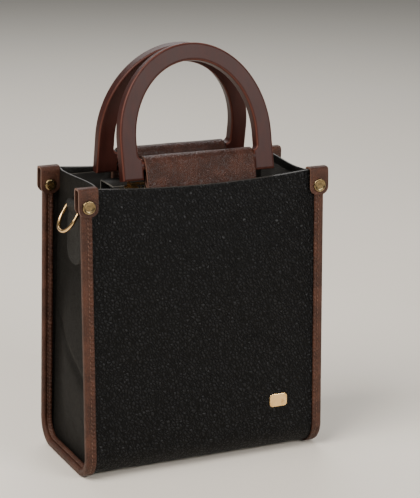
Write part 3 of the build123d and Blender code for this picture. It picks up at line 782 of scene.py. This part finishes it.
def handle_loop(face):
    """Leather sewn inside the mouth that goes up, round the bar of a handle and down again."""
    node = FACES[face] + "_handle_loop"
    _, bar_y, bar_z = joint_point(FACES[face] + "_handle_swing") / MM
    bar_y = abs(bar_y)
    radius = high(node, Z) - bar_z
    neck = 246.0
    heights = (low(node, Z), 225, 235, 241, neck)
    front_neck = Vector((wall_y(CAVITY_IN, neck), neck))
    back_neck = Vector((front_neck.x - 2 * LOOP, neck))
    centre = Vector((bar_y, bar_z))

    def touch(point, hand):
        """Angle at which a line from a point touches the loop's round."""
        away = point - centre
        return math.degrees(math.atan2(away.y, away.x)) + hand * math.degrees(math.acos(radius / away.length))

    start, end = touch(front_neck, 1), touch(back_neck, -1)
    round_part = arc(centre, radius, start, end + 360, 30)
    front = [(wall_y(CAVITY_IN, z), z) for z in heights]
    back = [(wall_y(CAVITY_IN, z) - 2 * LOOP, z) for z in reversed(heights)]
    track = Track(front + round_part + back)
    half = high(node, X)

    def place(across, along):
        run = track.length * along
        y, z = track.at(run)
        x = (2 * across - 1) * half
        wave = 0.35 * ripple(x, run, face * 17, 24) * ramp(z, neck, neck + 8)
        away = (Vector((y, z)) - centre).normalized()
        return Vector((x, face * (y + away.x * wave), z + away.y * wave))

    bm = grid(40, 120, place)
    face_out(bm, (0, face * bar_y, bar_z + radius), (0, 0, 1))
    thicken(bm, LOOP - 0.1, rounding=0.6)
    make(FACES[face] + "_loop_leather", bm, [LOOP_BROWN, BROWN_EDGE], [node])


# ---- zip panel

def zip_facing(face):
    """Leather leaf that hangs beside the wall and turns in to carry a tape."""
    node = FACES[face] + "_zip_facing"
    top, bottom = high(node, Z), low(node, Z)
    inner = min(abs(low(node, Y)), abs(high(node, Y)))
    inset = CAVITY_IN + 2 * LOOP + 0.1
    turn = 2.4
    leaf = [(wall_y(inset, z), z) for z in (bottom, 225, 231, top - turn)]
    corner = arc((leaf[-1][0] - turn, top - turn), turn, 0, 90, 5)
    flat = [(corner[-1][0] - (corner[-1][0] - inner) * k / 6, top) for k in range(1, 7)]
    track = Track(leaf[:-1] + corner + flat)
    half = high(node, X)

    def place(across, along):
        y, z = track.at(track.length * along)
        x = (2 * across - 1) * half
        lift = 0.3 * ripple(x, y, face * 5, 30) * ramp(along, 0.45, 0.65) * ramp(abs(x), half, half - 14)
        return Vector((x, face * y, z + max(0.0, lift)))

    bm = grid(56, 48, place)
    face_out(bm, (0, face * 16, top), (0, 0, 1))
    thicken(bm, FACING, rounding=0.45)
    # The facing's rim takes the pale edge colour, a painted highlight.
    make(FACES[face] + "_facing_leather", bm, [STRAP_BLACK, PALE_EDGE_HIGHLIGHT], [node])


def zip_tape(face):
    """Woven tape under the facing's inner edge, which carries one row of teeth."""
    node = FACES[face] + "_zip_tape"
    facing = FACES[face] + "_zip_facing"
    half = high(facing, X)
    top, bottom = high(node, Z), low(node, Z)
    near, far = sorted((abs(low(node, Y)), abs(high(node, Y))))

    def place(across, along):
        return Vector(((2 * across - 1) * half, face * (near + (far - near) * along), top))

    bm = grid(40, 8, place)
    face_out(bm, (0, face * 10, top), (0, 0, 1))
    thicken(bm, top - bottom, rounding=0.2)
    tape = make(FACES[face] + "_tape_cloth", bm, [TAPE, TAPE], [node])


def zip_teeth():
    """Metal teeth, each a body clamped on its tape with a narrower head towards the other row."""
    pitch, length, reach, apart = 3.0, 1.7, 2.3, 0.7
    start, end = low("zip_teeth", X), high("zip_teeth", X)
    bottom, top = low("zip_teeth", Z), high("zip_teeth", Z)
    count = round((end - start - length) / pitch + 0.5)
    bm = bmesh.new()

    def block(x, y, size):
        place = Matrix.Translation((x, y, (top + bottom) / 2)) @ Matrix.Diagonal((*size, 1))
        verts = bmesh.ops.create_cube(bm, size=1, matrix=place)["verts"]
        edges = list(dict.fromkeys(edge for vert in verts for edge in vert.link_edges))
        bmesh.ops.bevel(bm, geom=edges, offset=0.22, offset_type="OFFSET", segments=1, profile=0.5,
                        affect="EDGES", material=-1, clamp_overlap=True)

    for face, shift in ((FRONT, 0.0), (REAR, pitch / 2)):
        for index in range(count):
            x = start + length / 2 + shift + index * pitch
            block(x, face * (apart + reach * 0.72), (length, reach * 0.56, top - bottom))
            block(x, face * (apart + reach * 0.3), (length * 0.72, reach * 0.6, (top - bottom) * 0.8))
    make("zip_teeth_metal", bm, [TOOTH_METAL], ["zip_teeth"], crease=30)


# ---- ring straps

def ring_strap(side):
    """Strap sewn to the gusset: up from its rounded tip, over the bar of the ring and down behind itself."""
    name = SIDES[side] + "_ring_strap"
    length, half, neck_half, tip_radius = 51.0, 16.0, 11.2, 13.0
    bar = joint_point(SIDES[side] + "_ring_swing") / MM
    lean = math.atan((GUSSET_BASE_X - GUSSET_MIDDLE_X) / CORNER_TOP)
    out = Vector((side * math.cos(lean), 0, math.sin(lean)))
    up = Vector((-side * math.sin(lean), 0, math.cos(lean)))
    fold = STRAP + RING_CLEARANCE + RING_WIRE_RADIUS
    foot = bar - out * fold
    front = [(2 * STRAP + 0.05, -length + k * (length - 11.5) / 10) for k in range(11)]
    front += [(2 * STRAP + 0.35, -9.2), (2 * STRAP + 1.3, -6.3)]
    back = [(0.06, -length * k / 6) for k in range(1, 7)]
    track = Track(front + arc((fold, 0), fold, -34, 180, 18) + back)

    def place(across, along):
        run = track.length * crowded(along, 0.6)
        away, height = track.at(run)
        reach = rounded_tip(min(run, track.length - run), half, tip_radius)
        neck = neck_half + (half - neck_half) * ramp(height, -8.2, -11.2)
        lateral = (2 * across - 1) * min(reach, neck)
        return foot + out * away + up * height + Vector((0, lateral, 0))

    bm = grid(16, 110, place)
    face_out(bm, foot + out * 4 - up * 30, out)
    thicken(bm, STRAP - 0.1, rounding=0.45)
    make(name + "_leather", bm, [STRAP_BLACK, BLACK_EDGE], [name])

    inset = 2.6
    straight = length - tip_radius - 12.5
    tip_y, tip_z = half - tip_radius, tip_radius - length
    sew = [(inset - half, -12.2 - straight * k / 12) for k in range(13)]
    sew += arc((-tip_y, tip_z), tip_radius - inset, 180, 270, 8)
    sew += arc((tip_y, tip_z), tip_radius - inset, 270, 360, 8)
    sew += [(half - inset, tip_z + straight * k / 12) for k in range(1, 13)]
    line = Track(sew)

    def at(run):
        lateral, height = line.at(run)
        return foot + out * (2 * STRAP + 0.1) + up * height + Vector((0, lateral, 0)), out

    stitches(name + "_stitches", line.length, 3.0, BLACK_THREAD, at)


# ---- stitching

THREAD = 0.42
THREAD_SLANT = 0.22


def stitches(name, length, pitch, finish, at):
    """A row of short thread stitches, each sinking into the leather at its ends."""
    bm = bmesh.new()
    count = int(length / pitch)
    start = (length - count * pitch) / 2
    for index in range(count):
        run = start + (index + 0.5) * pitch
        middle, out = at(run)
        along = (at(run + 0.4)[0] - middle).normalized()
        across = out.cross(along).normalized()
        slant = (along + across * THREAD_SLANT).normalized()
        side = out.cross(slant)
        matrix = Matrix((slant * pitch * 0.39, side * THREAD, out * THREAD * 0.9)).transposed().to_4x4()
        matrix.translation = middle
        bmesh.ops.create_uvsphere(bm, u_segments=6, v_segments=4, radius=1,
                                  matrix=matrix @ Matrix.Rotation(math.pi / 2, 4, "Y"))
    bmesh.ops.recalc_face_normals(bm, faces=bm.faces)
    make(name, bm, [finish], crease=80)


def binding_stitches(side):
    """A row on each face of the binding."""
    rows = (("outer", BINDING_X + 3.8, 0.42, 1), ("inner", BINDING_X + 4.2, STACK - 0.62, -1))
    for row, x, inset, turn in rows:

        def at(run):
            y, z, out_y, out_z = girth(run - HALF_GIRTH + SEAM_END, inset)
            return Vector((side * x, y, z)), Vector((0, turn * out_y, turn * out_z))

        stitches(SIDES[side] + "_binding_stitches_" + row, 2 * (HALF_GIRTH - SEAM_END), STITCH_PITCH,
                 BROWN_THREAD, at)


def facing_stitches(face):
    node = FACES[face] + "_zip_facing"
    half, top = high(node, X), high(node, Z)
    inner = min(abs(low(node, Y)), abs(high(node, Y)))

    def at(run):
        return Vector((run - half + SEAM_END, face * (inner + 2.6), top + 0.12)), Vector((0, 0, 1))

    stitches(FACES[face] + "_facing_stitches", 2 * (half - SEAM_END), 3.2, BLACK_THREAD, at)


# ---- CAD nodes that keep their own shape

def dress(node, finish):
    """Gives a CAD node one finish."""
    slots = frame["nodes"][node].data.materials
    slots.clear()
    slots.append(finish)


def dress_nodes():
    for face in FACES.values():
        node = face + "_handle"
        bar = joint_point(node + "_swing")
        flat = max(frame["nodes"][node].data.polygons, key=lambda part: part.area)
        half = abs((flat.center - bar).dot(flat.normal)) / MM
        dress(node, lacquered_wood_finish(node + "_wood", tuple(bar), tuple(flat.normal), half))
    for node in ("left_d_ring", "right_d_ring", "zip_slider", "zip_pull", "front_plate"):
        dress(node, BRIGHT_GOLD)
    for node in ("rivet_backs", "rivet_posts"):
        dress(node, RIVET_GOLD)
    dress("zip_stops", TOOTH_METAL)
    for node in ("base_board", "front_board", "rear_board"):
        dress(node, BOARD)


# ---- floor, lights and camera

FLOOR_RADIUS = 9.0


def floor():
    bm = bmesh.new()
    bmesh.ops.create_circle(bm, cap_ends=True, segments=96, radius=FLOOR_RADIUS)
    mesh = bpy.data.meshes.new("floor")
    bm.to_mesh(mesh)
    bm.free()
    mesh.materials.append(floor_finish())
    ground = bpy.data.objects.new("floor", mesh)
    bpy.context.scene.collection.objects.link(ground)


def area_light(name, place, target, size, power, colour):
    data = bpy.data.lights.new(name, "AREA")
    data.shape = "RECTANGLE"
    data.size, data.size_y = size
    data.energy = power
    data.color = colour
    lamp = bpy.data.objects.new(name, data)
    lamp.location = place
    lamp.rotation_mode = "QUATERNION"
    lamp.rotation_quaternion = (Vector(target) - Vector(place)).to_track_quat("-Z", "Y")
    bpy.context.scene.collection.objects.link(lamp)


def lights():
    middle = (0, 0, 0.15)
    area_light("key", (-1.5, -0.5, 1.9), middle, (1.6, 1.6), 82, (1.0, 0.97, 0.925))
    area_light("fill", (0.7, -1.6, 0.95), middle, (1.0, 0.5), 27, (1.0, 0.985, 0.96))
    area_light("back", (0.4, 1.9, 1.7), middle, (2.0, 1.2), 34, (0.99, 0.985, 0.98))
    world = bpy.data.worlds.new("studio")
    world.use_nodes = True
    world.node_tree.nodes["Background"].inputs["Color"].default_value = (0.93, 0.94, 0.96, 1)
    world.node_tree.nodes["Background"].inputs["Strength"].default_value = 0.2
    bpy.context.scene.world = world


def camera():
    turn, tilt, roll = math.radians(-25.4), math.radians(15.5), math.radians(0.85)
    target = Vector((0.0266, 0, 0.1768))
    distance = 1.577
    back = Vector((math.sin(turn) * math.cos(tilt), -math.cos(turn) * math.cos(tilt), math.sin(tilt)))
    data = bpy.data.cameras.new("camera")
    data.lens = 130.1
    data.sensor_width = 36
    eye = bpy.data.objects.new("camera", data)
    eye.location = target + back * distance
    eye.rotation_mode = "QUATERNION"
    eye.rotation_quaternion = (-back).to_track_quat("-Z", "Y") @ Quaternion((0, 0, 1), roll)
    bpy.context.scene.collection.objects.link(eye)
    bpy.context.scene.camera = eye


# ---- the bag

def build():
    body_wrap()
    lining()
    zip_teeth()
    rivet_caps()
    for face in FACES:
        top_stay(face)
        handle_loop(face)
        zip_facing(face)
        zip_tape(face)
        facing_stitches(face)
        for side in SIDES:
            tab(side, face)
    for side in SIDES:
        gusset(side)
        binding(side)
        binding_stitches(side)
        ring_strap(side)
    dress_nodes()
    floor()
    lights()
    camera()


build()
